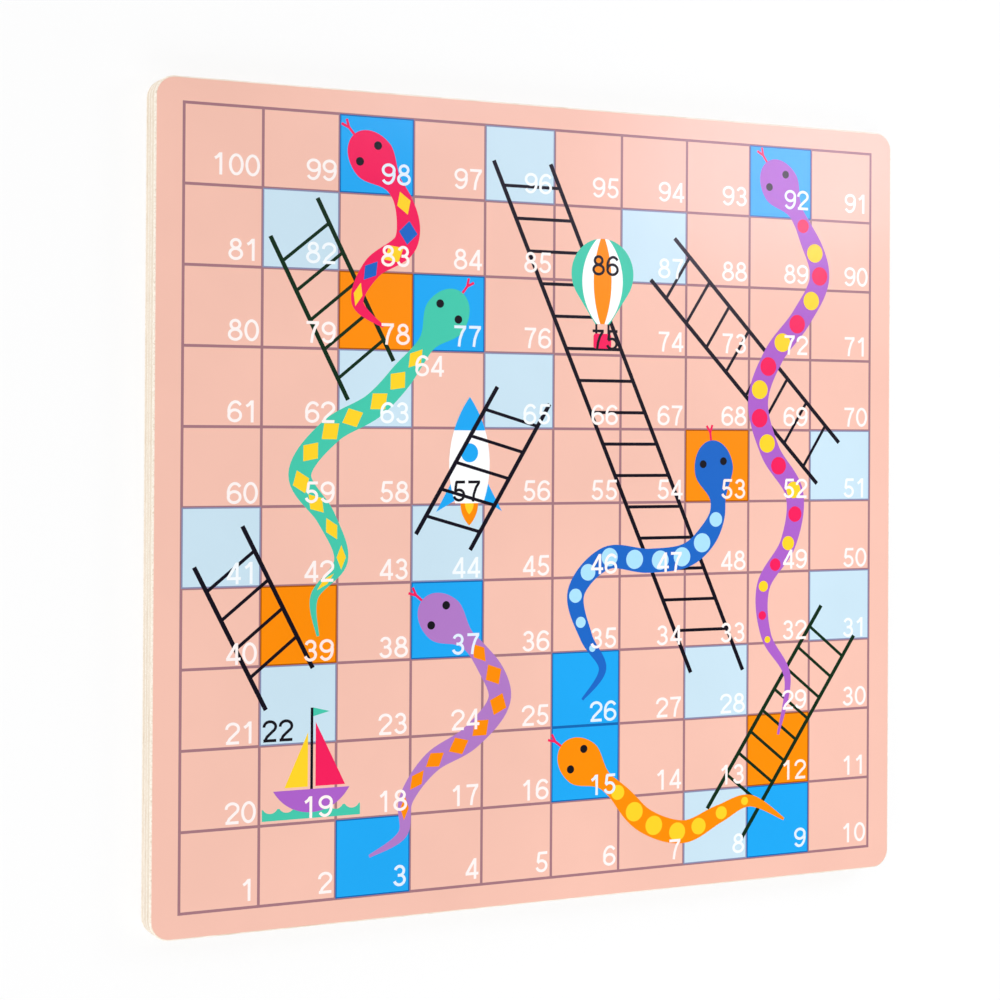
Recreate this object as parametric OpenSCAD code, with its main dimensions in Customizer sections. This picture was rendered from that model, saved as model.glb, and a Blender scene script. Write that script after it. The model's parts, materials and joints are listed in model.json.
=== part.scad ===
// Double-sided wooden game board, lying on its back.
// A seven-layer laminated panel carries a printed snakes-and-ladders course on its face
// and a printed flying-chess course on its back.
// +X runs along the rows, +Y up the course, +Z out of the face. The origin is the middle of the back.

/* [Course] */
// Width of one square of the course
cell_w = 28; // [24:0.5:36]
// Height of one square of the course
cell_h = 27.2; // [24:0.1:36]
// Width of the printed lines between the squares
line_w = 1; // [0.4:0.1:1.6]

/* [Panel] */
// Border left and right of the course
side_border = 10; // [6:0.5:30]
// Border above and below the course
end_border = 8.8; // [6:0.1:30]
// Radius of the panel's corners, seen from the face
corner_r = 7; // [4:0.5:14]
// Rounding where the faces meet the sides
edge_r = 0.6; // [0.4:0.1:1.2]
// Thickness of one veneer
veneer_t = 1.5; // [1.3:0.1:3]
// Thickness of the base coat on each side
coat_t = 0.15; // [0.12:0.01:0.3]
// Depth of the inks, which lie flush in the base coat
ink_t = 0.06; // [0.03:0.01:0.1]

/* [Ladders] */
// Width of a rail
rail_w = 1.6; // [1:0.1:3]
// Width of a rung
rung_w = 1.2; // [0.8:0.1:3]
// Length of the rails above the first rung
rail_end = 9.5; // [4:0.5:12]

/* [Snakes] */
// Width of a head
head_w = 17; // [12:0.5:22]
// Distance from the widest part of a head to its nose
nose_len = 11; // [8:0.5:14]
// Distance from the widest part of a head back to the neck
nape_len = 13; // [9:0.5:18]
// Width of the neck
neck_w = 6.5; // [5:0.5:8]
// Distance over which the body swells behind the neck
swell_len = 16; // [8:0.5:30]
// Width of the body at its thickest
body_w = 9; // [6:0.5:11]
// Width of the tail's tip
tail_w = 1; // [0.6:0.1:3]
// Length of a tongue up to its fork
tongue_len = 3; // [2:0.5:6]
// Length of the two ends of a tongue
fork_len = 3; // [1.5:0.5:5]
// Width of a tongue
tongue_w = 0.9; // [0.5:0.1:1.5]
// Radius of an eye
eye_r = 1.5; // [0.8:0.1:2.5]
// Distance between the eyes, middle to middle
eye_gap = 9; // [6:0.5:12]
// Distance of the eyes from the widest part of the head, towards the nose
eye_forward = 2.5; // [0:0.5:5]
// Distance of the first mark from the widest part of the head
first_mark = 18; // [14:0.5:30]
// Distance from mark to mark along the body
mark_step = 10.5; // [9:0.5:16]
// Length of a diamond mark along the body
diamond_len = 8.5; // [5:0.5:9]
// Bare body left on each side of a mark
mark_margin = 0.9; // [0.5:0.1:1.5]
// Width of the narrowest mark, near the tail
least_mark_w = 2; // [1:0.1:4]

/* [Motifs] */
// Radius of the balloon
balloon_r = 13; // [9:0.5:14]
// Distance from the middle of the balloon down to its mouth
mouth_drop = 18.5; // [16:0.5:21]
// Width of the balloon's mouth
mouth_w = 6; // [4:0.5:8]
// Width of the balloon's middle stripe
stripe_w = 7.5; // [5:0.5:9]
// Width of the balloon's middle three stripes
stripes_w = 17; // [12:0.5:20]
// Length of the ropes from the mouth to the basket
rope_len = 3.5; // [2:0.5:6]
// Width of the ropes
rope_w = 0.9; // [0.5:0.1:1.5]
// Width of the basket
basket_w = 7.5; // [5:0.5:9]
// Height of the basket
basket_h = 5.5; // [3:0.5:7]
// Width of the rocket's body
rocket_w = 16; // [12:0.5:20]
// Distance from the widest part of the rocket up to its tip
rocket_nose = 24; // [18:0.5:28]
// Distance from the widest part of the rocket down to its tail
rocket_tail = 14; // [10:0.5:16]
// Height of the rocket's coloured tip
tip_h = 12; // [8:0.5:14]
// Radius of the rocket's window
window_r = 3.4; // [2:0.1:4.5]
// Distance of the window above the widest part of the rocket
window_up = 4; // [0:0.5:6]
// Reach of a fin past the widest part of the rocket
fin_w = 5; // [3:0.5:7]
// Height of a fin, measured on the rocket's middle line
fin_h = 20; // [16:0.5:24]
// Drop of a fin's tip below the tail
fin_drop = 3; // [1:0.5:5]
// Width of the flame
flame_w = 7; // [4:0.5:9]
// Length of the flame
flame_len = 8; // [5:0.5:10]
// Length of the boat's hull
hull_len = 28; // [20:0.5:30]
// Depth of the hull
hull_d = 8; // [5:0.5:10]
// Height of the mast
mast_h = 28; // [18:0.5:30]
// Width of the mast
mast_w = 1; // [0.6:0.1:1.6]
// Gap between the sails and the mast and hull
sail_gap = 0.9; // [0.5:0.1:2]
// Length of the main sail's foot
main_sail_w = 11; // [7:0.5:12]
// Length of the front sail's foot
front_sail_w = 8.5; // [5:0.5:11]
// Length of the pennant
pennant_len = 6; // [3:0.5:8]
// Height of the pennant at the mast
pennant_h = 3; // [1.5:0.1:4]
// Height of the waves
wave_h = 4; // [2:0.5:5]
// Length of one wave
wave_len = 6; // [4:0.5:8]

/* [Back course] */
// Border between the back course and the nearest edge
back_border = 14; // [8:0.5:40]
// Gap between neighbouring spots
spot_gap = 4; // [2:0.5:7]
// Radius of the corners of the four yards
yard_corner_r = 10; // [4:0.5:20]
// Radius of a parking spot in a yard
parking_r = 12; // [7:0.5:16]

/* [Hidden] */
$fn = 64;

// The course has ten rows of ten squares, numbered to and fro from the lower left
cells = 10;
course_w = cells * cell_w;
course_h = cells * cell_h;
board_w = course_w + 2 * side_border;
board_h = course_h + 2 * end_border;

// The rounding of the edge stays inside one veneer, and the base coat stops where it starts
most_of_a_veneer = 0.9;
rounding = min(edge_r, most_of_a_veneer * veneer_t);
coat_w = board_w - 2 * rounding;
coat_h = board_h - 2 * rounding;
coat_corner_r = corner_r - rounding;

veneers = 7;
panel_top = coat_t + veneers * veneer_t;
board_t = panel_top + coat_t;

// Coloured squares by number: blue and orange where snakes start and end, sky where ladders do
blue_numbers = [98, 92, 77, 37, 26, 15, 9, 3];
orange_numbers = [78, 53, 39, 12];
sky_numbers = [96, 87, 82, 65, 63, 51, 44, 41, 31, 28, 22, 8];

// Ladders: top and foot of one rail and the way from there to the other one, in squares from the lower left
// corner of the course, then the number of rungs and the rails' length below the last one
green_ladder_lines = [
    [[1.1, 8.4], [2.13, 6.35], [0.61, 0.51], 5, 8.3],
    [[9.2, 3.5], [7.37, 0.74], [0.55, -0.45], 8, 15]
];
navy_ladder_lines = [
    [[4.12, 9.54], [7.1, 2.64], [0.82, 0], 15, 17.5],
    [[6.45, 8.05], [9.12, 5.24], [0.365, 0.585], 8, 9.2],
    [[4.19, 6.55], [3.06, 4.62], [0.755, -0.22], 5, 7.5],
    [[0.16, 4.26], [1.08, 2.45], [0.605, 0.5], 4, 12.6]
];

// Snakes' routes, head first, in squares
teal_route = [[3.45, 7.45], [3.0, 6.85], [2.5, 6.3], [1.9, 5.95], [1.5, 5.4], [1.85, 4.85], [2.05, 4.3],
    [1.7, 3.85], [1.75, 3.35]];
purple_route = [[8.5, 9.45], [8.9, 8.85], [9.15, 8.2], [8.85, 7.6], [8.4, 7.05], [8.15, 6.4], [8.35, 5.7],
    [8.75, 5.1], [8.65, 4.4], [8.25, 3.8], [8.3, 3.1], [8.65, 2.5], [8.5, 1.7]];
blue_route = [[7.45, 5.45], [7.5, 4.8], [7.1, 4.3], [6.45, 4.2], [5.8, 4.25], [5.35, 3.8], [5.5, 3.2],
    [5.75, 2.75], [5.45, 2.35]];
red_route = [[2.45, 9.45], [2.85, 8.95], [2.9, 8.4], [2.45, 8.05], [2.25, 7.6], [2.6, 7.3]];
orange_route = [[5.45, 1.5], [5.95, 1.1], [6.4, 0.65], [7.0, 0.45], [7.55, 0.65], [8.05, 0.8], [8.6, 0.5]];
lilac_route = [[3.45, 3.5], [3.95, 3.05], [4.25, 2.45], [3.85, 1.95], [3.3, 1.65], [2.95, 1.2], [2.9, 0.75],
    [2.45, 0.5]];
all_routes = [teal_route, purple_route, blue_route, red_route, orange_route, lilac_route];
// Points of the curve between two points of a route, and of a quarter of a head's outline
route_steps = 12;
head_steps = 12;
// Share of the body's length at which it starts to taper
taper_start = 0.4;
fork_angle = 25;

// Figures between the squares' numbers, in squares: middle of the balloon, widest part of the rocket and
// middle of the boat's deck
balloon_at = [5.72, 8.1];
rocket_at = [3.8, 5.53];
boat_at = [1.68, 1.42];
basket_corner_r = basket_h / 5;
// The stripes of the balloon run together just above it and as far below its mouth
stripe_h = balloon_r + mouth_drop + balloon_r / 3;
stripe_middle = (balloon_r - mouth_drop) / 2;
// Share of a fin's height at which its lower edge meets the rocket's middle line
fin_root_share = 0.2;
// Share of the flame's size that its core takes up
core_share = 0.5;
// Shares of the mast's height that the sails reach up to
main_sail_share = 0.82;
front_sail_share = 0.7;

// The back course is a cross of spots on a grid of 15 by 15 steps
back_steps = 15;
back_step = (min(board_w, board_h) - 2 * back_border) / back_steps;
spot_r = (back_step - spot_gap) / 2;
// First and last step of an arm of the cross, counted from the middle
arm_first = 2;
arm_last = (back_steps - 1) / 2;
yard_side = (arm_last - arm_first + 1) * back_step - spot_gap;
yard_mid = (arm_first + arm_last) / 2 * back_step;
parking_mid = yard_side / 4;
home_half = (arm_first - 0.5) * back_step - spot_gap / 2;

wood_long = "#F6E8D2";
wood_cross = "#EBD7B8";
pink = "#F3BFAF";
line_purple = "#A8767C";
blue = "#2AA5EE";
sky = "#CBE5F4";
orange = "#FA9010";
green = "#0B3D1E";
navy = "#140F2A";
deep_blue = "#1C6CC4";
teal = "#4CC8AC";
purple = "#AD67C7";
red = "#F0245F";
lilac = "#B27FC5";
yellow = "#FBD335";
pale_blue = "#A9DDF5";
white = "#FFFFFF";
black = "#15121C";
back_red = "#E2574C";
back_yellow = "#F6C945";
back_blue = "#4AA3DF";
back_green = "#5DB075";

// Places on the course

// Position of a point that is given in squares
function at(p) = [(p[0] - cells / 2) * cell_w, (p[1] - cells / 2) * cell_h];

// Column and row of a numbered square
function cell_of(n) =
    let (row = floor((n - 1) / cells), along = (n - 1) % cells)
    [row % 2 == 0 ? along : cells - 1 - along, row];

function middle_of(n) = at(cell_of(n) + [0.5, 0.5]);

// Snakes' bodies

function nearest(list, i) = list[min(max(i, 0), len(list) - 1)];

// Point of a smooth curve through p, at the share t of its stretch i
function curve_point(p, i, t) =
    let (a = nearest(p, i - 1), b = p[i], c = p[i + 1], d = nearest(p, i + 2))
    0.5 * (2 * b + (c - a) * t + (2 * a - 5 * b + 4 * c - d) * pow(t, 2)
        + (3 * b - a - 3 * c + d) * pow(t, 3));

function curve(p) = [
    for (i = [0 : len(p) - 2], k = [0 : route_steps - 1]) curve_point(p, i, k / route_steps),
    p[len(p) - 1]
];

function body_line(route) = curve([for (p = route) at(p)]);

function direction(line, i) =
    let (d = nearest(line, i + 1) - nearest(line, i - 1))
    d / norm(d);

function across(line, i) = let (d = direction(line, i)) [-d[1], d[0]];

// Length of the body line up to each of its points
function distances(line) = [
    for (i = 0, d = 0; i < len(line); d = d + norm(nearest(line, i + 1) - line[i]), i = i + 1) d
];

// Width that passes smoothly from a to b as d goes from d0 to d1
function eased(a, b, d, d0, d1) = a + (b - a) * (1 - cos(180 * (d - d0) / (d1 - d0))) / 2;

// Half the width of a body of a given length, at a distance from the widest part of the head
function half_width(d, length) =
    let (
        swell_end = nape_len + swell_len,
        taper_at = max(swell_end, taper_start * length),
        taper = (d - taper_at) / (length - taper_at)
    )
    (d < nape_len ? eased(head_w, neck_w, d, 0, nape_len)
        : d < swell_end ? eased(neck_w, body_w, d, nape_len, swell_end)
        : d < taper_at ? body_w
        : tail_w + (body_w - tail_w) * cos(90 * taper)) / 2;

// Half widths along a body line
function half_widths(line) =
    let (along = distances(line), length = along[len(line) - 1])
    [for (d = along) half_width(d, length)];

// Point of the oval front of a head, at an angle from the nose
function nose_point(line, angle) =
    line[0] - direction(line, 0) * nose_len * cos(angle) + across(line, 0) * head_w / 2 * sin(angle);

// One outline: round the nose, then down one side of the body to the tail and back up the other
function snake_outline(line) =
    let (last = len(line) - 1, half = half_widths(line))
    concat(
        [for (k = [1 - head_steps : head_steps - 1]) nose_point(line, 90 * k / head_steps)],
        [for (i = [0 : last]) line[i] + half[i] * across(line, i)],
        [for (i = [last : -1 : 0]) line[i] - half[i] * across(line, i)]
    );

module snake_shape(route) {
    polygon(snake_outline(body_line(route)));
}

// Place of a head, with the nose towards +X
module at_head(route) {
    line = body_line(route);
    forward = -direction(line, 0);
    translate(line[0]) rotate(atan2(forward[1], forward[0])) children();
}

module eyes(route) {
    at_head(route) for (side = [-1, 1]) translate([eye_forward, side * eye_gap / 2]) circle(eye_r);
}

// Forked tongue, cut off where the nose covers it
module tongue(route) {
    difference() {
        at_head(route) {
            translate([nose_len - tongue_w, -tongue_w / 2]) square([tongue_len + tongue_w, tongue_w]);
            translate([nose_len + tongue_len, 0]) {
                circle(tongue_w / 2);
                for (side = [-1, 1]) rotate(side * fork_angle)
                    translate([0, -tongue_w / 2]) square([fork_len, tongue_w]);
            }
        }
        snake_shape(route);
    }
}

// Points of the body line that bear a mark: every so many, counted from the given one
function mark_points(line, first, every) =
    let (
        along = distances(line),
        half = half_widths(line),
        count = floor((along[len(line) - 1] - first_mark) / mark_step)
    )
    [for (k = [first : every : count])
        let (i = [for (i = [0 : len(line) - 1]) if (along[i] >= first_mark + k * mark_step) i][0])
        if (i != undef && half[i] - mark_margin >= least_mark_w / 2) i];

module spots(route, first = 0, every = 1) {
    line = body_line(route);
    half = half_widths(line);
    for (i = mark_points(line, first, every)) translate(line[i]) circle(half[i] - mark_margin);
}

module diamonds(route, first = 0, every = 1) {
    line = body_line(route);
    half = half_widths(line);
    for (i = mark_points(line, first, every)) {
        reach = direction(line, i) * diamond_len / 2;
        spread = across(line, i) * (half[i] - mark_margin);
        polygon([line[i] + reach, line[i] + spread, line[i] - reach, line[i] - spread]);
    }
}

// Everything drawn in each colour of mark

module yellow_mark_shapes() {
    diamonds(teal_route);
    spots(purple_route, 1, 2);
    diamonds(red_route, 0, 2);
    spots(orange_route);
}

module red_mark_shapes() {
    spots(purple_route, 0, 2);
}

module blue_mark_shapes() {
    diamonds(red_route, 1, 2);
}

module pale_blue_mark_shapes() {
    spots(blue_route);
}

module orange_mark_shapes() {
    diamonds(lilac_route);
}

module mark_shapes() {
    yellow_mark_shapes();
    red_mark_shapes();
    blue_mark_shapes();
    pale_blue_mark_shapes();
    orange_mark_shapes();
}

module snake_shapes() {
    for (route = all_routes) snake_shape(route);
}

module tongue_shapes() {
    for (route = all_routes) tongue(route);
}

// Ladders

// Straight line from a to b
module bar(a, b, w) {
    translate(a) rotate(atan2(b[1] - a[1], b[0] - a[0])) translate([0, -w / 2]) square([norm(b - a), w]);
}

module ladder(lines) {
    top = at(lines[0]);
    foot = at(lines[1]);
    reach = at(lines[0] + lines[2]) - top;
    rungs = lines[3];
    foot_end = lines[4];
    way = (foot - top) / norm(foot - top);
    step = (norm(foot - top) - rail_end - foot_end) / (rungs - 1);
    bar(top, foot, rail_w);
    bar(top + reach, foot + reach, rail_w);
    for (i = [0 : rungs - 1]) {
        start = top + way * (rail_end + i * step);
        bar(start, start + reach, rung_w);
    }
}

module ladder_shapes(list) {
    for (lines = list) ladder(lines);
}

// Figures in empty squares

// Upright lens between two arcs
module lens(w, h) {
    r = (pow(h, 2) + pow(w, 2)) / (4 * w);
    intersection() {
        translate([r - w / 2, 0]) circle(r);
        translate([w / 2 - r, 0]) circle(r);
    }
}

// Round balloon that narrows along two tangents to its mouth
module balloon() {
    mouth = [mouth_w / 2, -mouth_drop];
    touch = atan2(mouth[1], mouth[0]) + acos(balloon_r / norm(mouth));
    side = balloon_r * [cos(touch), sin(touch)];
    translate(at(balloon_at)) {
        circle(balloon_r);
        polygon([side, mouth, [-mouth[0], mouth[1]], [-side[0], side[1]]]);
    }
}

module balloon_stripe(w) {
    intersection() {
        balloon();
        translate(at(balloon_at) + [0, stripe_middle]) lens(w, stripe_h);
    }
}

module ropes() {
    reach = (min(mouth_w, basket_w) - rope_w) / 2;
    translate(at(balloon_at) - [0, mouth_drop + rope_len])
        for (side = [-1, 1]) translate([side * reach - rope_w / 2, 0]) square([rope_w, rope_len]);
}

module basket() {
    translate(at(balloon_at) - [0, mouth_drop + rope_len + basket_h / 2])
        sheet(basket_w, basket_h, basket_corner_r);
}

// The rocket stands behind a ladder, which cuts it
module at_rocket() {
    difference() {
        translate(at(rocket_at)) children();
        ladder_shapes(navy_ladder_lines);
    }
}

// Part of the rocket's body between two heights above its widest part
module rocket_body(low, high) {
    intersection() {
        lens(rocket_w, 2 * rocket_nose);
        translate([-rocket_w / 2, low]) square([rocket_w, high - low]);
    }
}

module rocket_window() {
    translate([0, window_up]) circle(window_r);
}

module rocket_hull() {
    at_rocket() difference() {
        rocket_body(-rocket_tail, rocket_nose - tip_h);
        rocket_window();
    }
}

// Fins in one chevron that the body covers, so that they follow its side
module fins() {
    tip = [rocket_w / 2 + fin_w, -rocket_tail - fin_drop];
    difference() {
        polygon([
            tip,
            [0, fin_h - rocket_tail],
            [-tip[0], tip[1]],
            [0, fin_root_share * fin_h - rocket_tail]
        ]);
        rocket_body(-rocket_tail, rocket_nose);
    }
}

module rocket_trim() {
    at_rocket() {
        rocket_body(rocket_nose - tip_h, rocket_nose);
        rocket_window();
        fins();
    }
}

// Flame below the tail, at a share of its full size
module flame(share) {
    intersection() {
        translate([0, -rocket_tail]) lens(share * flame_w, 2 * share * flame_len);
        translate([-flame_w / 2, -rocket_tail - flame_len]) square([flame_w, flame_len]);
    }
}

module flame_rim() {
    at_rocket() difference() {
        flame(1);
        flame(core_share);
    }
}

module flame_core() {
    at_rocket() flame(core_share);
}

// Hull with a straight deck and a round bottom
module hull() {
    r = (pow(hull_len / 2, 2) + pow(hull_d, 2)) / (2 * hull_d);
    translate(at(boat_at)) intersection() {
        translate([0, r - hull_d]) circle(r);
        translate([-hull_len / 2, -hull_d]) square([hull_len, hull_d]);
    }
}

module mast() {
    translate(at(boat_at) - [mast_w / 2, 0]) square([mast_w, mast_h]);
}

// Sail on one side of the mast, up to a share of the mast's height
module sail(side, w, share) {
    start = side * (mast_w / 2 + sail_gap);
    translate(at(boat_at))
        polygon([[start, sail_gap], [start + side * w, sail_gap], [start, share * mast_h]]);
}

module pennant() {
    translate(at(boat_at) + [mast_w / 2, mast_h])
        polygon([[0, 0], [pennant_len, -pennant_h / 2], [0, -pennant_h]]);
}

// Band of waves with scooped tops, on which the hull floats
module waves() {
    count = ceil(hull_len / wave_len) + 1;
    difference() {
        translate(at(boat_at) - [count * wave_len / 2, hull_d + wave_h / 2]) difference() {
            square([count * wave_len, wave_h]);
            for (i = [0 : count - 1])
                translate([(i + 0.5) * wave_len, wave_h + wave_len / 4]) circle(wave_len / 2);
        }
        hull();
    }
}

// Everything drawn in each colour of figure

module white_motif_shapes() {
    rocket_hull();
    difference() {
        balloon_stripe(stripes_w);
        balloon_stripe(stripe_w);
    }
}

module middle_shapes() {
    flame_rim();
    balloon_stripe(stripe_w);
}

module yellow_motif_shapes() {
    flame_core();
    sail(-1, front_sail_w, front_sail_share);
}

module teal_motif_shapes() {
    pennant();
    waves();
    difference() {
        balloon();
        balloon_stripe(stripes_w);
    }
}

module red_motif_shapes() {
    basket();
    sail(1, main_sail_w, main_sail_share);
}

module navy_motif_shapes() {
    ropes();
    mast();
}

// Figures in front of the ladders
module front_motif_shapes() {
    balloon();
    ropes();
    basket();
    hull();
    mast();
    sail(1, main_sail_w, main_sail_share);
    sail(-1, front_sail_w, front_sail_share);
    pennant();
    waves();
}

module motif_shapes() {
    front_motif_shapes();
    rocket_hull();
    rocket_trim();
    at_rocket() flame(1);
}

// Squares and lines

module squares(numbers) {
    for (n = numbers) translate(middle_of(n)) square([cell_w - line_w, cell_h - line_w], center = true);
}

module line_shapes() {
    for (i = [0 : cells]) {
        translate([(i - cells / 2) * cell_w, 0]) square([line_w, course_h + line_w], center = true);
        translate([0, (i - cells / 2) * cell_h]) square([course_w + line_w, line_w], center = true);
    }
}

// Everything that is drawn over the squares and lines
module figures() {
    snake_shapes();
    tongue_shapes();
    ladder_shapes(green_ladder_lines);
    ladder_shapes(navy_ladder_lines);
    motif_shapes();
}

// Layers

module sheet(w, h, r) {
    square([w - 2 * r, h], center = true);
    square([w, h - 2 * r], center = true);
    for (x = [-1, 1], y = [-1, 1]) translate([x * (w / 2 - r), y * (h / 2 - r)]) circle(r);
}

module coat_shape() {
    sheet(coat_w, coat_h, coat_corner_r);
}

module veneer(layer) {
    translate([0, 0, coat_t + layer * veneer_t]) linear_extrude(veneer_t) sheet(board_w, board_h, corner_r);
}

// Section of a rounded edge: a quarter disc on a root that reaches into the veneer
module edge_section() {
    root = (veneer_t - rounding) / 2;
    intersection() {
        circle(rounding);
        square(rounding);
    }
    translate([-rounding, 0]) square(rounding);
    translate([-rounding, -root]) square([2 * rounding, root]);
}

// Veneer whose upper edge is rounded all the way round
module rounded_veneer() {
    linear_extrude(veneer_t - rounding) sheet(board_w, board_h, corner_r);
    linear_extrude(veneer_t) coat_shape();
    translate([0, 0, veneer_t - rounding]) {
        for (side = [0, 180]) rotate(side) {
            translate([coat_w / 2, 0]) rotate([90, 0, 0])
                linear_extrude(board_h - 2 * corner_r, center = true) edge_section();
            translate([0, coat_h / 2]) rotate([90, 0, 90])
                linear_extrude(board_w - 2 * corner_r, center = true) edge_section();
        }
        for (x = [0, 1], y = [0, 1]) mirror([x, 0]) mirror([0, y])
            translate([board_w / 2 - corner_r, board_h / 2 - corner_r])
                rotate_extrude(angle = 90) translate([coat_corner_r, 0]) edge_section();
    }
}

// An ink on the face or the back, or the pocket in the base coat that holds it

module on_face() {
    translate([0, 0, board_t - ink_t]) linear_extrude(ink_t) children();
}

module on_back() {
    linear_extrude(ink_t) children();
}

// Back course

// Steps along one arm of the cross, in and out again: the outward side, the end and the way back
arm_path = concat(
    [for (y = [arm_first : arm_last]) [-1, y]],
    [[0, arm_last]],
    [for (y = [arm_last : -1 : arm_first]) [1, y]]
);

module quarter_turn(arm) {
    rotate(-90 * arm) children();
}

// Spots of one colour: every fourth one along the track
module track_spots(colour) {
    for (arm = [0 : 3], i = [0 : len(arm_path) - 1])
        if ((arm * len(arm_path) + i) % 4 == colour)
            quarter_turn(arm) translate(back_step * arm_path[i]) circle(spot_r);
}

// Squares that lead to the middle, and a triangle of the home there
module home_lane(arm) {
    base = 2 * home_half - spot_gap;
    quarter_turn(arm) {
        for (y = [arm_first : arm_last - 1]) translate([0, y * back_step]) square(2 * spot_r, center = true);
        polygon([[0, spot_gap / 2], [base / 2, home_half], [-base / 2, home_half]]);
    }
}

module yard(arm) {
    quarter_turn(arm) translate([-yard_mid, yard_mid]) sheet(yard_side, yard_side, yard_corner_r);
}

module parking(arm) {
    quarter_turn(arm) translate([-yard_mid, yard_mid])
        for (x = [-1, 1], y = [-1, 1]) translate([x, y] * parking_mid) circle(parking_r);
}

module back_colour(arm) {
    track_spots(arm);
    home_lane(arm);
    difference() {
        yard(arm);
        parking(arm);
    }
}

// Sub-parts of the panel

module back_face_veneer() {
    color(wood_long) translate([0, 0, coat_t + veneer_t]) mirror([0, 0, 1]) rounded_veneer();
}

module back_cross_veneer() {
    color(wood_cross) veneer(1);
}

module back_inner_veneer() {
    color(wood_long) veneer(2);
}

module core_veneer() {
    color(wood_cross) veneer(3);
}

module front_inner_veneer() {
    color(wood_long) veneer(4);
}

module front_cross_veneer() {
    color(wood_cross) veneer(5);
}

module front_face_veneer() {
    color(wood_long) translate([0, 0, panel_top - veneer_t]) rounded_veneer();
}

// Sub-parts of the face's print

module front_base_coat() {
    color(pink) difference() {
        translate([0, 0, panel_top]) linear_extrude(coat_t) coat_shape();
        on_face() {
            line_shapes();
            squares(concat(blue_numbers, orange_numbers, sky_numbers));
            figures();
        }
    }
}

module course_lines() {
    color(line_purple) on_face() difference() {
        line_shapes();
        figures();
    }
}

module blue_squares() {
    color(blue) on_face() difference() {
        squares(blue_numbers);
        figures();
    }
}

module sky_squares() {
    color(sky) on_face() difference() {
        squares(sky_numbers);
        figures();
    }
}

module orange_squares() {
    color(orange) on_face() difference() {
        squares(orange_numbers);
        figures();
    }
}

module ladders(list) {
    difference() {
        ladder_shapes(list);
        snake_shapes();
        tongue_shapes();
        front_motif_shapes();
    }
}

module green_ladders() {
    color(green) on_face() ladders(green_ladder_lines);
}

module navy_ladders() {
    color(navy) on_face() ladders(navy_ladder_lines);
}

module snake(route) {
    difference() {
        snake_shape(route);
        mark_shapes();
        eyes(route);
    }
}

module teal_snake() {
    color(teal) on_face() snake(teal_route);
}

module purple_snake() {
    color(purple) on_face() snake(purple_route);
}

module blue_snake() {
    color(deep_blue) on_face() snake(blue_route);
}

module red_snake() {
    color(red) on_face() snake(red_route);
}

module orange_snake() {
    color(orange) on_face() snake(orange_route);
}

module lilac_snake() {
    color(lilac) on_face() snake(lilac_route);
}

module yellow_marks() {
    color(yellow) on_face() yellow_mark_shapes();
}

module red_marks() {
    color(red) on_face() red_mark_shapes();
}

module blue_marks() {
    color(deep_blue) on_face() blue_mark_shapes();
}

module pale_blue_marks() {
    color(pale_blue) on_face() pale_blue_mark_shapes();
}

module orange_marks() {
    color(orange) on_face() orange_mark_shapes();
}

module snake_eyes() {
    color(black) on_face() for (route = all_routes) eyes(route);
}

module snake_tongues() {
    color(red) on_face() tongue_shapes();
}

module white_motifs() {
    color(white) on_face() white_motif_shapes();
}

module motif_middles() {
    color(orange) on_face() middle_shapes();
}

module yellow_motifs() {
    color(yellow) on_face() yellow_motif_shapes();
}

module teal_motifs() {
    color(teal) on_face() teal_motif_shapes();
}

module red_motifs() {
    color(red) on_face() red_motif_shapes();
}

module navy_motifs() {
    color(navy) on_face() navy_motif_shapes();
}

module blue_motifs() {
    color(blue) on_face() rocket_trim();
}

module purple_motifs() {
    color(purple) on_face() hull();
}

// Sub-parts of the back's print

module back_base_coat() {
    color(pink) difference() {
        linear_extrude(coat_t) coat_shape();
        on_back() for (arm = [0 : 3]) {
            track_spots(arm);
            home_lane(arm);
            yard(arm);
        }
    }
}

module red_back_print() {
    color(back_red) on_back() back_colour(0);
}

module yellow_back_print() {
    color(back_yellow) on_back() back_colour(1);
}

module blue_back_print() {
    color(back_blue) on_back() back_colour(2);
}

module green_back_print() {
    color(back_green) on_back() back_colour(3);
}

module back_parking_spots() {
    color(white) on_back() for (arm = [0 : 3]) parking(arm);
}

back_base_coat();
red_back_print();
yellow_back_print();
blue_back_print();
green_back_print();
back_parking_spots();
back_face_veneer();
back_cross_veneer();
back_inner_veneer();
core_veneer();
front_inner_veneer();
front_cross_veneer();
front_face_veneer();
front_base_coat();
course_lines();
blue_squares();
sky_squares();
orange_squares();
green_ladders();
navy_ladders();
teal_snake();
purple_snake();
blue_snake();
red_snake();
orange_snake();
lilac_snake();
yellow_marks();
red_marks();
blue_marks();
pale_blue_marks();
orange_marks();
snake_eyes();
snake_tongues();
white_motifs();
motif_middles();
yellow_motifs();
teal_motifs();
red_motifs();
navy_motifs();
blue_motifs();
purple_motifs();
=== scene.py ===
"""Looks of a double-sided wooden game board: printed, lacquered faces on a pale laminated panel."""
import json
import math

import bmesh
import bpy
from mathutils import Matrix, Vector
from mathutils.geometry import delaunay_2d_cdt


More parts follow.
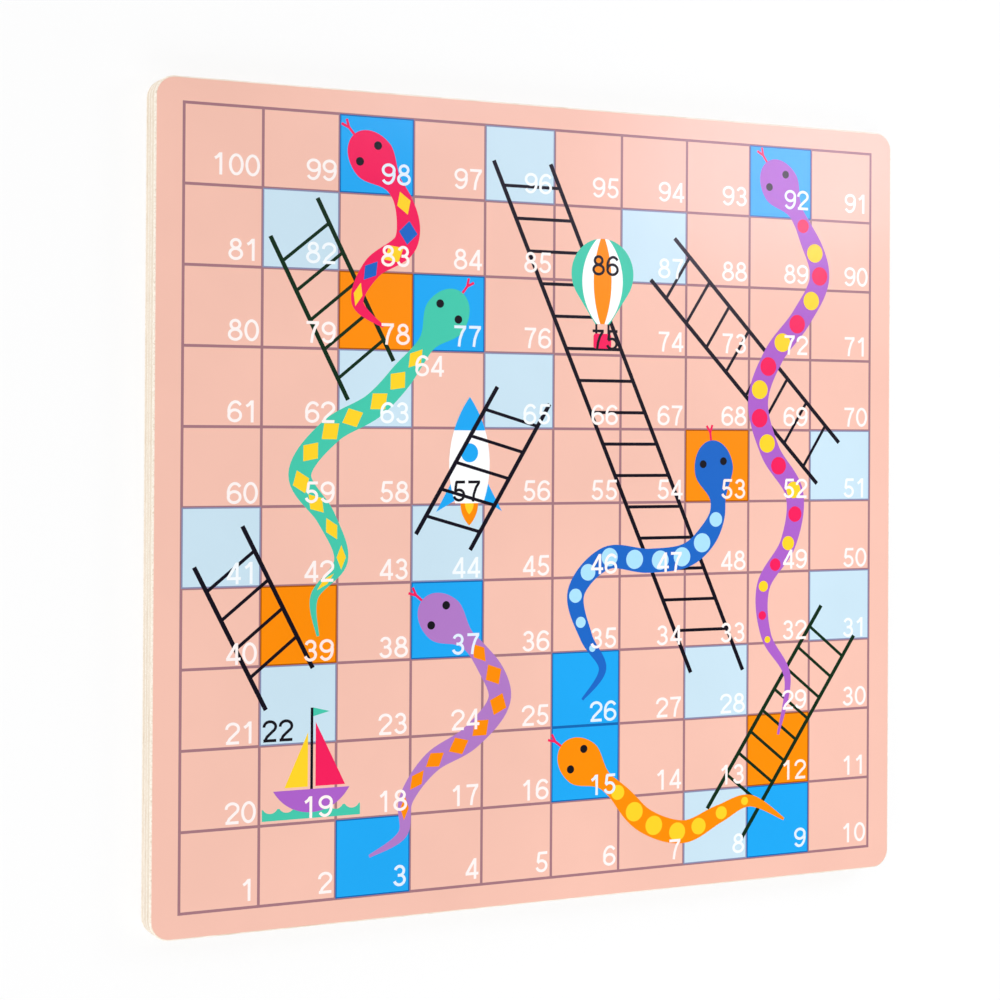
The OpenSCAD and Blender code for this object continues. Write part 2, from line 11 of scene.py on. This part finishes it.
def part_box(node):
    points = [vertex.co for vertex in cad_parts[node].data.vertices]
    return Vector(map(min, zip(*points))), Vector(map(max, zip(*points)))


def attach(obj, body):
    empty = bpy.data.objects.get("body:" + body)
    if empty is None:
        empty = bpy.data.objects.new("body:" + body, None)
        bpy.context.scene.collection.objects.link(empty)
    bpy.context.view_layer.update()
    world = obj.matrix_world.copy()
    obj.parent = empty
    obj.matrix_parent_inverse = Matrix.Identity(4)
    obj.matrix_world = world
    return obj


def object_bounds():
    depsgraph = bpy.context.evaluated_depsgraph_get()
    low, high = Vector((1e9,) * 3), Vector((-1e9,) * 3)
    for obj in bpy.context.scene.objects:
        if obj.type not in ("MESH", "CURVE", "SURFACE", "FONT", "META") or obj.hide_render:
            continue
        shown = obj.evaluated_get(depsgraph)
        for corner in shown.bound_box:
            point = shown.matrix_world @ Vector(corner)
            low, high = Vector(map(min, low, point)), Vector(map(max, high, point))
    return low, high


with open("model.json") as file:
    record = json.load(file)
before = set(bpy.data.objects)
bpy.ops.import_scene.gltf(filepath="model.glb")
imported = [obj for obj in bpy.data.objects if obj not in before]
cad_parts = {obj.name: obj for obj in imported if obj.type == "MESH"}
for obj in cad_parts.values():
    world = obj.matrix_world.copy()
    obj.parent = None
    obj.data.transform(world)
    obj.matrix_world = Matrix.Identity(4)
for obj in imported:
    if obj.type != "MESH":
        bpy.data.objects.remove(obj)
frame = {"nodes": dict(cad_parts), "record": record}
cad_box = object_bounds()
nodes = frame["nodes"]

# Sizes, in metres
MM = 0.001
FACE_Z = cad_box[1].z

# Course: squares in a row, width of the lines, size of a square, and lower left corner of the first
CELLS = 10
LINE_W = 1.0 * MM
course_low, course_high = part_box("course_lines")
CELL_W = (course_high.x - course_low.x - LINE_W) / CELLS
CELL_H = (course_high.y - course_low.y - LINE_W) / CELLS
COURSE_X = course_low.x + LINE_W / 2
COURSE_Y = course_low.y + LINE_W / 2
# Coloured squares by their ink
COLOURED_SQUARES = {
    "blue_ink": (3, 9, 15, 26, 37, 77, 92, 98),
    "sky_ink": (8, 22, 28, 31, 41, 44, 51, 63, 65, 82, 87, 96),
    "orange_ink": (12, 39, 53, 78),
}

# Panel: heights of the middle of its lowest and highest veneer, and the number of glued joints between them
FIRST_PLY, LAST_PLY = [
    sum(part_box(name), Vector()).z / 2 for name in ("back_face_veneer", "front_face_veneer")
]
GLUE_JOINTS = sum(name.endswith("_veneer") for name in nodes) - 1

# Numbers: height of the digits, and distance from the line at the right and, by row, from the one below
DIGIT_H = 7.5 * MM
NUMBER_SIDE = 1.1 * MM
NUMBER_LIFT = [lift * MM for lift in (2.2, 1.4, 1.2, 0.9, 1.0, 1.0, 1.5, 1.9, 2.1, 3.6)]
# How far they stand proud of the face and reach into it, and the share of the ground that their white hides
PRINT_PROUD = 0.02 * MM
PRINT_SUNK = 0.02 * MM
WHITE_COVER = 0.75
BLACK_NUMBERS = (22, 57, 75, 86)
# Numbers that leave the lower right of their square to a motif: whether they keep its right and lower side
MOVED_NUMBERS = {22: (False, True), 64: (False, False)}

# Digits, as shares of their height: their strokes, their width, and the way from one to the next
STROKE = 0.135
DIGIT_W = 0.70
ADVANCE = 0.78
# Segments of an arc, distance below which two points are one, and angle below which two faces are one
ARC_STEPS = 16
MERGE = 1e-5
FLAT = math.radians(0.5)

# Range in which nearly all values of a noise pattern lie
NOISE_SPAN = (0.3, 0.7)

# Print: features per metre of its clouds, gloss and orange peel, and of the grain below, along and across
CLOUDS = 14.0
GLOSS = 420.0
PEEL = 260.0
UNDER_GRAIN = (8.0, 900.0)
# Unevenness of its ink, its roughness, its relief with the strengths of peel and grain, and its gloss
INK_SPREAD = 0.03
PRINT_ROUGHNESS = (0.36, 0.46)
PRINT_RELIEF = 0.02 * MM
PEEL_STRENGTH = 0.35
UNDER_GRAIN_STRENGTH = 0.3
INK_SPECULAR = 0.03
COAT_WEIGHT = 0.1
COAT_ROUGHNESS = 0.2

# Wood: features per metre of its fibres and pores, along and across the grain
FIBRES = (20.0, 1000.0)
PORES = (150.0, 3800.0)
# Noise in which pores show, distance from a joint, in veneers, where glue fades, and the shades of both
PORE_SPAN = (0.54, 0.7)
GLUE_SPAN = (0.02, 0.06)
PORE_SHADE = "E8DCCE"
GLUE_SHADE = "D8C3A8"
WOOD_ROUGHNESS = (0.5, 0.68)
FIBRE_RELIEF = 0.06 * MM
FIBRE_STRENGTH = 0.5

# Camera, seen from the middle of the printed face, its focal length and its shift in picture widths
CAMERA_AT = Vector((-351.4, 26.4, 677.5)) * MM
CAMERA_AIM = Vector((-21.6, 30.9, 0.0)) * MM
CAMERA_ROLL = math.radians(0.33)
FOCAL_WIDTHS = 2.095
SHIFT_UP = -0.0819
SENSOR_MM = 36.0

# Light of the sky, of the flag in it and from below the horizon
SKY = 1.34
FLAG_LIGHT = 0.1
LIGHT_BELOW = 1.0
# Angles of the flag's dark core and soft edge, and half the height of the soft horizon
FLAG_CORE = math.radians(28)
FLAG_EDGE = math.radians(54)
HORIZON = 0.05
# Lamps, with sizes in metres. Those for gloss alone put the sheen on the lacquer at the upper right
LAMPS = {
    "fill": {"at": (0.0, -0.5, 0.6), "aim": (0.0, 0.0, 0.0), "size": (0.5, 0.5), "watts": 1.0},
    "side": {"at": (0.46, 0.20, 0.42), "aim": (0.14, 0.05, 0.0), "size": (0.25, 0.25), "watts": 0.85,
             "tint": (0.9, 0.98, 1.08)},
    "sheen": {"at": (0.374, 0.210, 0.431), "aim": (0.1, 0.14, 0.0), "size": (0.16, 0.21), "watts": 2.3,
              "tint": (1.12, 0.95, 1.22), "gloss_only": True},
    "rim": {"at": (0.186, 0.240, 0.431), "aim": (-0.02, 0.158, 0.0), "size": (0.02, 0.215), "watts": 0.4,
            "tint": (1.0, 0.95, 1.3), "gloss_only": True},
}

# Floor: its side, distance below the board, whiteness and finish, and the share of plain white it shows
FLOOR_SIDE = 6.0
FLOOR_GAP = 0.05 * MM
FLOOR_WHITE = 0.94
FLOOR_ROUGHNESS = 0.9
FLOOR_SPECULAR = 0.1
FLOOR_GLOW = 0.78
# Rays shorter than this come from a face that lies on the floor, and pass through it
TOUCH_LENGTH = 10 * FLOOR_GAP


def linear(code):
    """Linear colour of a six-digit sRGB code."""
    values = [int(code[i:i + 2], 16) / 255 for i in (0, 2, 4)]
    return tuple(v / 12.92 if v <= 0.04045 else ((v + 0.055) / 1.055) ** 2.4 for v in values) + (1.0,)


def scaled(colour, factor):
    return tuple(min(1.0, c * factor) for c in colour[:3]) + (1.0,)


def thin_white(ground):
    """Colour of the thin white ink on a ground that shows through it."""
    return tuple(WHITE_COVER + (1 - WHITE_COVER) * c for c in ground[:3]) + (1.0,)


def square_of(number):
    """Column and row of a numbered square: the course runs to and fro from the lower left."""
    row, along = divmod(number - 1, CELLS)
    return (along if row % 2 == 0 else CELLS - 1 - along), row


# Nodes

class Tree:
    """The nodes of a material or world, with short calls to add them."""

    def __init__(self, owner):
        owner.use_nodes = True
        self.nodes = owner.node_tree.nodes
        self.links = owner.node_tree.links

    def feed(self, node, inputs):
        """Gives inputs, called by name or place, a fixed value or the output of another node."""
        for key, value in inputs.items():
            if isinstance(value, bpy.types.NodeSocket):
                self.links.new(value, node.inputs[key])
            else:
                node.inputs[key].default_value = value

    def add(self, kind, inputs=(), **settings):
        node = self.nodes.new(kind)
        for key, value in settings.items():
            setattr(node, key, value)
        self.feed(node, dict(inputs))
        return node

    def math(self, operation, *values):
        return self.add("ShaderNodeMath", enumerate(values), operation=operation).outputs["Value"]

    def vector_math(self, operation, *values):
        node = self.add("ShaderNodeVectorMath", enumerate(values), operation=operation)
        return node.outputs["Value" if operation == "DOT_PRODUCT" else "Vector"]

    def height(self, vector):
        return self.add("ShaderNodeSeparateXYZ", {"Vector": vector}).outputs["Z"]

    def span(self, value, target, source=(0.0, 1.0)):
        """Goes through the target range while the value goes through the source range."""
        names = ("Value", "From Min", "From Max", "To Min", "To Max")
        inputs = zip(names, (value, *source, *target))
        return self.add("ShaderNodeMapRange", inputs).outputs["Result"]

    def mixed_shaders(self, share, first, second):
        return self.add("ShaderNodeMixShader", {0: share, 1: first, 2: second}).outputs["Shader"]


class Shader(Tree):
    """A material, with the patterns that make its surface."""

    def __init__(self, name):
        self.material = bpy.data.materials.new(name)
        super().__init__(self.material)
        self.bsdf = self.nodes["Principled BSDF"]
        self.place = self.add("ShaderNodeTexCoord").outputs["Object"]

    def grain(self, scales, along_x):
        """Object coordinates, multiplied along the grain and across it."""
        along, across = scales
        scale = (along, across, across) if along_x else (across, along, across)
        return self.vector_math("MULTIPLY", self.place, scale)

    def to_glue(self):
        """Distance from the nearest joint between two veneers, as a share of their thickness."""
        # Counted in veneers from the back, the joints lie at whole numbers
        middle = 0.5
        plies = self.span(self.height(self.place), (middle, GLUE_JOINTS + middle), (FIRST_PLY, LAST_PLY))
        return self.math("PINGPONG", plies, middle)

    def on_squares(self, numbers):
        """1 on the squares with these numbers and 0 elsewhere."""
        per_metre = (1 / CELL_W, 1 / CELL_H, 0.0)
        start = (-COURSE_X / CELL_W, -COURSE_Y / CELL_H, 0.0)
        cells = self.vector_math("FLOOR", self.vector_math("MULTIPLY_ADD", self.place, per_metre, start))
        # Rows count for twice their squares, so no place beside the course passes for one in the next row
        row_step = 2 * CELLS
        index = self.vector_math("DOT_PRODUCT", cells, (1, row_step, 0))
        found = 0.0
        tolerance = 0.5
        for column, row in map(square_of, numbers):
            match = self.math("COMPARE", index, column + row_step * row, tolerance)
            found = self.math("ADD", found, match)
        return found

    def noise(self, vector, scale=1.0, detail=3.0, roughness=0.5):
        inputs = {"Vector": vector, "Scale": scale, "Detail": detail, "Roughness": roughness}
        return self.add("ShaderNodeTexNoise", inputs).outputs["Fac"]

    def fade(self, factor, span, first, last):
        """Goes from one colour to another while a factor goes through a span."""
        node = self.add("ShaderNodeValToRGB", {"Fac": factor})
        for element, position, colour in zip(node.color_ramp.elements, span, (first, last)):
            element.position = position
            element.color = colour
        return node.outputs["Color"]

    def mixed_colours(self, share, first, second):
        """Mix of two colours. Its sockets are called by place: those for numbers have the same names."""
        return self.add("ShaderNodeMix", {0: share, 6: first, 7: second}, data_type="RGBA").outputs[2]

    def bump(self, height, distance, strength, under=None):
        inputs = {"Height": height, "Distance": distance, "Strength": strength}
        if under is not None:
            inputs["Normal"] = under
        return self.add("ShaderNodeBump", inputs).outputs["Normal"]


# Materials

def print_material(name, colour, on_grounds=None):
    """Lacquered print: uneven ink over faint grain, under a satin clear coat with a fine orange peel.

    on_grounds holds the ink's colours on coloured squares, by the ink of the square.
    """
    shader = Shader(name)
    clouds = shader.noise(shader.place, CLOUDS, detail=4.0, roughness=0.55)
    specks = shader.noise(shader.place, GLOSS, detail=2.0)
    peel = shader.noise(shader.place, PEEL, detail=2.0)
    grain = shader.noise(shader.grain(UNDER_GRAIN, along_x=True))

    def uneven(ink):
        return shader.fade(clouds, NOISE_SPAN, scaled(ink, 1 - INK_SPREAD), scaled(ink, 1 + INK_SPREAD))

    tone = uneven(colour)
    for ground, ink in (on_grounds or {}).items():
        on_ground = shader.on_squares(COLOURED_SQUARES[ground])
        tone = shader.mixed_colours(on_ground, tone, uneven(ink))
    relief = shader.bump(grain, PRINT_RELIEF, UNDER_GRAIN_STRENGTH)
    relief = shader.bump(peel, PRINT_RELIEF, PEEL_STRENGTH, relief)
    shader.feed(shader.bsdf, {
        "Base Color": tone,
        "Roughness": shader.span(specks, PRINT_ROUGHNESS),
        "Normal": relief,
        "Specular IOR Level": INK_SPECULAR,
        "Coat Weight": COAT_WEIGHT,
        "Coat Roughness": COAT_ROUGHNESS,
    })
    return shader.material


def wood_material(name, pale, dark, along_x):
    """Sanded basswood: fibres and pores along the grain, and thin lines of glue between the veneers."""
    shader = Shader(name)
    fibre = shader.noise(shader.grain(FIBRES, along_x), detail=4.0, roughness=0.6)
    pore = shader.noise(shader.grain(PORES, along_x), detail=1.0)
    bare = linear("FFFFFF")
    wood = shader.fade(fibre, NOISE_SPAN, linear(dark), linear(pale))
    pores = shader.fade(pore, PORE_SPAN, bare, linear(PORE_SHADE))
    glue = shader.fade(shader.to_glue(), GLUE_SPAN, linear(GLUE_SHADE), bare)
    wood = shader.vector_math("MULTIPLY", wood, pores)
    wood = shader.vector_math("MULTIPLY", wood, glue)
    shader.feed(shader.bsdf, {
        "Base Color": wood,
        "Roughness": shader.span(fibre, WOOD_ROUGHNESS),
        "Normal": shader.bump(fibre, FIBRE_RELIEF, FIBRE_STRENGTH),
    })
    return shader.material


INKS = {
    "pink_coat": "F1BEAD",
    "line_ink": "A1757D",
    "blue_ink": "1EA5EE",
    "sky_ink": "C7DFEC",
    "orange_ink": "FA8B02",
    "green_ink": "04260F",
    "navy_ink": "060212",
    "deep_blue_ink": "1C64C0",
    "teal_ink": "44C4A8",
    "purple_ink": "A95FC4",
    "red_ink": "F01E5A",
    "lilac_ink": "AE78C2",
    "yellow_ink": "FBD028",
    "pale_blue_ink": "A9DDF5",
    "white_ink": "FFFFFF",
    "black_ink": "0E0B14",
    "back_red_ink": "E2574C",
    "back_yellow_ink": "F6C945",
    "back_blue_ink": "4AA3DF",
    "back_green_ink": "5DB075",
}


def line_on(ground):
    """Colour of the lines' clear ink on another ink than the pink coat."""
    line, coat = linear(INKS["line_ink"]), linear(INKS["pink_coat"])
    return tuple(g * a / b for g, a, b in zip(linear(INKS[ground]), line, coat))


finishes = {slot: print_material(slot, linear(code)) for slot, code in INKS.items() if slot != "line_ink"}
finishes["line_ink"] = print_material(
    "line_ink", linear(INKS["line_ink"]), {ground: line_on(ground) for ground in COLOURED_SQUARES})
finishes["veneer_long_grain"] = wood_material(
    "veneer_long_grain", pale="FAF3E9", dark="EADFCD", along_x=True)
finishes["veneer_cross_grain"] = wood_material(
    "veneer_cross_grain", pale="F3E8D9", dark="E0D1BC", along_x=False)

for subpart in frame["record"]["subparts"]:
    mesh = nodes[subpart["node"]].data
    mesh.materials.clear()
    mesh.materials.append(finishes[subpart["material_slot"]])


# Printed numbers

def arc(x, y, rx, ry, start, end, steps=ARC_STEPS):
    """Points along an oval about (x, y), from one angle to another."""
    angles = [math.radians(start + (end - start) * i / steps) for i in range(steps + 1)]
    return [(x + rx * math.cos(a), y + ry * math.sin(a)) for a in angles]


def ring(x, y, rx, ry):
    return arc(x, y, rx, ry, 0, 360, 2 * ARC_STEPS)


def turned_round(strokes):
    """The same strokes upside down in a digit's width and height."""
    return [[(DIGIT_W - x, 1 - y) for x, y in stroke] for stroke in strokes]


# Middle lines of each digit's strokes: the baseline is at 0 and the top at 1
EDGE = STROKE / 2
TOP = 1 - EDGE
MIDDLE = DIGIT_W / 2
BOWL = MIDDLE - EDGE
SIX = [ring(MIDDLE, 0.315, BOWL, 0.315 - EDGE), arc(0.385, 0.5, 0.385 - EDGE, 0.5 - EDGE, 40, 205)]
DIGITS = {
    "0": [ring(MIDDLE, 0.5, BOWL, 0.5 - EDGE)],
    "1": [[(0.4, 0.0), (0.4, 1.0)], [(0.12, 0.73), (0.25, 0.81), (0.37, 0.95)]],
    "2": [arc(MIDDLE, 0.7, BOWL, TOP - 0.7, 185, -38) + [(0.39, 0.4), (0.21, 0.24), (0.12, EDGE)],
          [(0.04, EDGE), (0.66, EDGE)]],
    "3": [arc(0.335, 0.72, 0.22, TOP - 0.72, 165, -80), arc(0.335, 0.295, 0.255, 0.295 - EDGE, 80, -168),
          [(0.25, 0.513), (0.37, 0.513)]],
    "4": [[(0.515, 0.0), (0.515, 0.985)], [(0.02, 0.26), (0.695, 0.26)], [(0.49, 0.93), (0.08, 0.28)]],
    "5": [[(0.17, TOP), (0.65, TOP)], [(0.205, 0.95), (0.14, 0.5)],
          arc(0.335, 0.315, 0.265, 0.315 - EDGE, 142, -165)],
    "6": SIX,
    "7": [[(0.04, TOP), (0.66, TOP)], [(0.6, 0.9), (0.45, 0.67), (0.34, 0.36), (0.29, 0.0)]],
    "8": [ring(MIDDLE, 0.74, 0.21, TOP - 0.74), ring(MIDDLE, 0.295, BOWL, 0.295 - EDGE)],
    "9": turned_round(SIX),
}


def stroke_sides(stroke):
    """Points on both sides of a stroke's middle line."""
    points = [Vector(p) for p in stroke]
    last = len(points) - 1
    closed = (points[0] - points[last]).length < MERGE
    left, right = [], []
    for i, point in enumerate(points):
        before = points[last - 1 if closed and i == 0 else max(i - 1, 0)]
        after = points[1 if closed and i == last else min(i + 1, last)]
        along = (after - before).normalized()
        side = Vector((-along.y, along.x)) * STROKE / 2
        left.append(point + side)
        right.append(point - side)
    return left, right


def digit_mesh(strokes):
    """One flat slab of a height of 1 in the shape of all strokes together."""
    corners, quads = [], []
    for stroke in strokes:
        left, right = stroke_sides(stroke)
        for i in range(len(left) - 1):
            start = len(corners)
            corners += [left[i], right[i], right[i + 1], left[i + 1]]
            quads.append(list(range(start, start + 4)))
    inside_only = 1
    points, _, triangles, _, _, sources = delaunay_2d_cdt(corners, [], quads, inside_only, MERGE)
    built = bmesh.new()
    verts = [built.verts.new((p.x, p.y, 0.0)) for p in points]
    for triangle, source in zip(triangles, sources):
        if source:
            built.faces.new([verts[i] for i in triangle])
    bmesh.ops.delete(built, geom=[v for v in built.verts if not v.link_faces], context="VERTS")
    bmesh.ops.recalc_face_normals(built, faces=built.faces)
    extruded = bmesh.ops.extrude_face_region(built, geom=built.faces[:])["geom"]
    raised = [element for element in extruded if isinstance(element, bmesh.types.BMVert)]
    bmesh.ops.translate(built, vec=(0, 0, 1), verts=raised)
    bmesh.ops.recalc_face_normals(built, faces=built.faces)
    bmesh.ops.dissolve_limit(built, angle_limit=FLAT, verts=built.verts, edges=built.edges)
    mesh = bpy.data.meshes.new("digit")
    built.to_mesh(mesh)
    built.free()
    return mesh


digit_meshes = {digit: digit_mesh(strokes) for digit, strokes in DIGITS.items()}


def number_corner(number):
    """Lower left corner of a number: beside the lines of its square."""
    column, row = square_of(number)
    to_right, to_bottom = MOVED_NUMBERS.get(number, (True, True))
    width = (ADVANCE * (len(str(number)) - 1) + DIGIT_W) * DIGIT_H
    x = CELL_W - NUMBER_SIDE - width if to_right else NUMBER_SIDE
    y = NUMBER_LIFT[row] if to_bottom else CELL_H - NUMBER_LIFT[row] - DIGIT_H
    return COURSE_X + column * CELL_W + x, COURSE_Y + row * CELL_H + y


def printed_numbers(name, numbers, finish):
    """One piece with all numbers of one finish."""
    built = bmesh.new()
    for number in numbers:
        x, y = number_corner(number)
        for place, digit in enumerate(str(number)):
            mesh = digit_meshes[digit].copy()
            mesh.transform(
                Matrix.Translation((x + place * ADVANCE * DIGIT_H, y, FACE_Z - PRINT_SUNK))
                @ Matrix.Diagonal((DIGIT_H, DIGIT_H, PRINT_PROUD + PRINT_SUNK, 1.0))
            )
            built.from_mesh(mesh)
            bpy.data.meshes.remove(mesh)
    mesh = bpy.data.meshes.new(name)
    built.to_mesh(mesh)
    built.free()
    mesh.materials.append(finishes[finish])
    piece = bpy.data.objects.new(name, mesh)
    bpy.context.scene.collection.objects.link(piece)
    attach(piece, "root")


white_numbers = {"pink_coat": set(range(1, CELLS ** 2 + 1)) - set(BLACK_NUMBERS)}
for ground, numbers in COLOURED_SQUARES.items():
    white_numbers["pink_coat"] -= set(numbers)
    white_numbers[ground] = set(numbers) - set(BLACK_NUMBERS)
for ground, numbers in white_numbers.items():
    name = "white_on_" + ground
    finishes[name] = print_material(name, thin_white(linear(INKS[ground])))
    printed_numbers("numbers_on_" + ground, sorted(numbers), name)
printed_numbers("black_numbers", BLACK_NUMBERS, "black_ink")
for mesh in digit_meshes.values():
    bpy.data.meshes.remove(mesh)


# Stage: floor, light and camera

def floor():
    """White floor with the board's shadow, which lets light and sight through to the underside."""
    bpy.ops.mesh.primitive_plane_add(size=FLOOR_SIDE, location=(0, 0, -FLOOR_GAP))
    plane = bpy.context.object
    plane.name = "floor"
    material = bpy.data.materials.new("floor_white")
    tree = Tree(material)
    matt = tree.nodes["Principled BSDF"]
    tree.feed(matt, {
        "Base Color": (FLOOR_WHITE, FLOOR_WHITE, FLOOR_WHITE, 1.0),
        "Roughness": FLOOR_ROUGHNESS,
        "Specular IOR Level": FLOOR_SPECULAR,
    })
    glow = tree.add("ShaderNodeEmission").outputs[0]
    clear = tree.add("ShaderNodeBsdfTransparent").outputs[0]
    under = tree.add("ShaderNodeNewGeometry").outputs["Backfacing"]
    path = tree.add("ShaderNodeLightPath").outputs
    seen = tree.math("MAXIMUM", path["Is Camera Ray"], path["Is Glossy Ray"])
    seen = tree.math("MAXIMUM", seen, path["Is Transmission Ray"])
    touching = tree.math("LESS_THAN", path["Ray Length"], TOUCH_LENGTH)
    lit = tree.mixed_shaders(tree.math("MULTIPLY", seen, FLOOR_GLOW), matt.outputs[0], glow)
    surface = tree.mixed_shaders(tree.math("MAXIMUM", under, touching), lit, clear)
    tree.feed(tree.nodes["Material Output"], {"Surface": surface})
    plane.data.materials.append(material)


def studio():
    """White surroundings, with less light from below and from the side mirrored to the camera."""
    world = bpy.data.worlds.new("studio")
    bpy.context.scene.world = world
    tree = Tree(world)
    towards = tree.add("ShaderNodeTexCoord").outputs["Generated"]
    mirrored = Vector((-CAMERA_AT.x, -CAMERA_AT.y, CAMERA_AT.z)).normalized()
    facing = tree.vector_math("DOT_PRODUCT", towards, mirrored)
    light = tree.span(facing, (SKY, FLAG_LIGHT), (math.cos(FLAG_EDGE), math.cos(FLAG_CORE)))
    light = tree.span(tree.height(towards), (LIGHT_BELOW, light), (-HORIZON, HORIZON))
    path = tree.add("ShaderNodeLightPath").outputs
    for kind in ("Is Camera Ray", "Is Glossy Ray", "Is Transmission Ray"):
        light = tree.span(path[kind], (light, 1.0))
    tree.feed(tree.nodes["Background"], {"Color": (1.0, 1.0, 1.0, 1.0), "Strength": light})


def area_light(name, at, aim, size, watts, tint=(1.0, 1.0, 1.0), gloss_only=False):
    data = bpy.data.lights.new(name, "AREA")
    data.color = tint
    data.shape = "ELLIPSE"
    data.size, data.size_y = size
    data.energy = watts
    lamp = bpy.data.objects.new(name, data)
    lamp.location = at
    lamp.rotation_euler = (Vector(aim) - Vector(at)).to_track_quat("-Z", "Y").to_euler()
    lamp.visible_camera = False
    lamp.visible_diffuse = not gloss_only
    bpy.context.scene.collection.objects.link(lamp)


def camera():
    data = bpy.data.cameras.new("camera")
    data.sensor_width = SENSOR_MM
    data.lens = FOCAL_WIDTHS * SENSOR_MM
    data.shift_y = SHIFT_UP
    holder = bpy.data.objects.new("camera", data)
    bpy.context.scene.collection.objects.link(holder)
    forward = (CAMERA_AIM - CAMERA_AT).normalized()
    right = forward.cross(Vector((0, 1, 0))).normalized()
    up = right.cross(forward)
    turned = right * math.cos(CAMERA_ROLL) + up * math.sin(CAMERA_ROLL)
    axes = Matrix((turned, turned.cross(forward), -forward)).transposed()
    holder.matrix_world = Matrix.Translation(CAMERA_AT + Vector((0, 0, FACE_Z))) @ axes.to_4x4()
    bpy.context.scene.camera = holder


floor()
studio()
for name, settings in LAMPS.items():
    area_light(name, **settings)
camera()
bpy.context.scene.view_settings.view_transform = "Standard"
